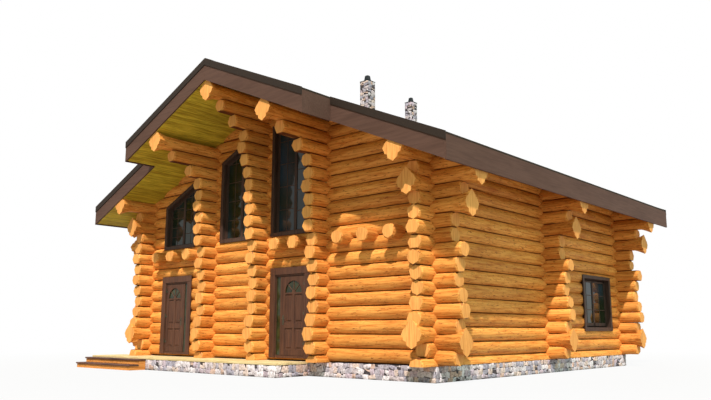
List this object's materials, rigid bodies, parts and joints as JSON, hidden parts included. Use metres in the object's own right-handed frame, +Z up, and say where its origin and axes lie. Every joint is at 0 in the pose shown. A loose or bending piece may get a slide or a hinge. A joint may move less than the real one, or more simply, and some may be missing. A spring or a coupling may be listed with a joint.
{
  "type": "log chalet",
  "caption": "Alpine log chalet with crossed log corners, a steep open gable front, deep eaves, a stone plinth, a low terrace, two hinged front doors and two chimneys.",
  "frame": {"origin": "ground level, under the middle of the roof's plan", "axes": "+Y along the ridge, from the front gable towards the back; +X to the right seen from the front; +Z up"},
  "size_m": [14.54, 14.76, 10.01],
  "materials": {
    "log_wood": "satin varnish over round logs, orange-brown",
    "stone": "rough rubble stone",
    "terrace_wood": "pale boards",
    "step_wood": "dark stained treads",
    "stringer_wood": "varnished orange wood",
    "soffit_wood": "olive-yellow varnished boards",
    "roof_build": "rafters and insulation",
    "roof_cover": "dark roof covering",
    "board_paint": "purple-brown stain",
    "dark_trim": "near black",
    "cap_metal": "dark sheet metal",
    "door_wood": "purple-brown stain",
    "window_wood": "dark brown stain",
    "glass": "clear, reflecting",
    "handle_metal": "brushed",
    "floor_wood": "boards"
  },
  "bodies": {
    "house": {"plinth": "stone", "terrace_base": "stone", "terrace_boards": "terrace_wood", "terrace_step_treads": "step_wood", "terrace_step_frame": "stringer_wood", "front_wall_logs": "log_wood", "front_gable_logs": "log_wood", "back_wall_logs": "log_wood", "back_gable_logs": "log_wood", "left_wall_logs": "log_wood", "right_wall_logs": "log_wood", "front_cross_logs": "log_wood", "back_cross_logs": "log_wood", "side_cross_logs": "log_wood", "ridge_purlin": "log_wood", "middle_purlins": "log_wood", "eave_purlins": "log_wood", "floor_joists": "log_wood", "ground_floor": "floor_wood", "upper_floor": "floor_wood", "roof_boards": "soffit_wood", "roof_slopes": "roof_build", "roof_covers": "roof_cover", "front_bargeboards": "board_paint", "back_bargeboards": "board_paint", "eave_fascias": "board_paint", "gable_trim": "dark_trim", "ridge_cap": "roof_cover", "chimney_stacks": "stone", "chimney_caps": "cap_metal", "door_frame_left": "door_wood", "door_frame_right": "door_wood", "door_side_lights": "glass", "front_window_frames": "window_wood", "front_window_glass": "glass", "back_window_frames": "window_wood", "back_window_glass": "glass", "side_window_frames": "window_wood", "side_window_glass": "glass"},
    "door_left": {"door_leaf_left": "door_wood", "door_handle_left": "handle_metal"},
    "door_right": {"door_leaf_right": "door_wood", "door_handle_right": "handle_metal"}
  },
  "joints": [
    {"name": "left_door_hinge", "type": "hinge", "parent": "house", "child": "door_left", "pos_m": [-4.7375, -5.082, 1.5], "axis": [0, 0, -1], "range_deg": [0, 100]},
    {"name": "right_door_hinge", "type": "hinge", "parent": "house", "child": "door_right", "pos_m": [1.7225, -5.082, 1.5], "axis": [0, 0, 1], "range_deg": [0, 100]}
  ]
}
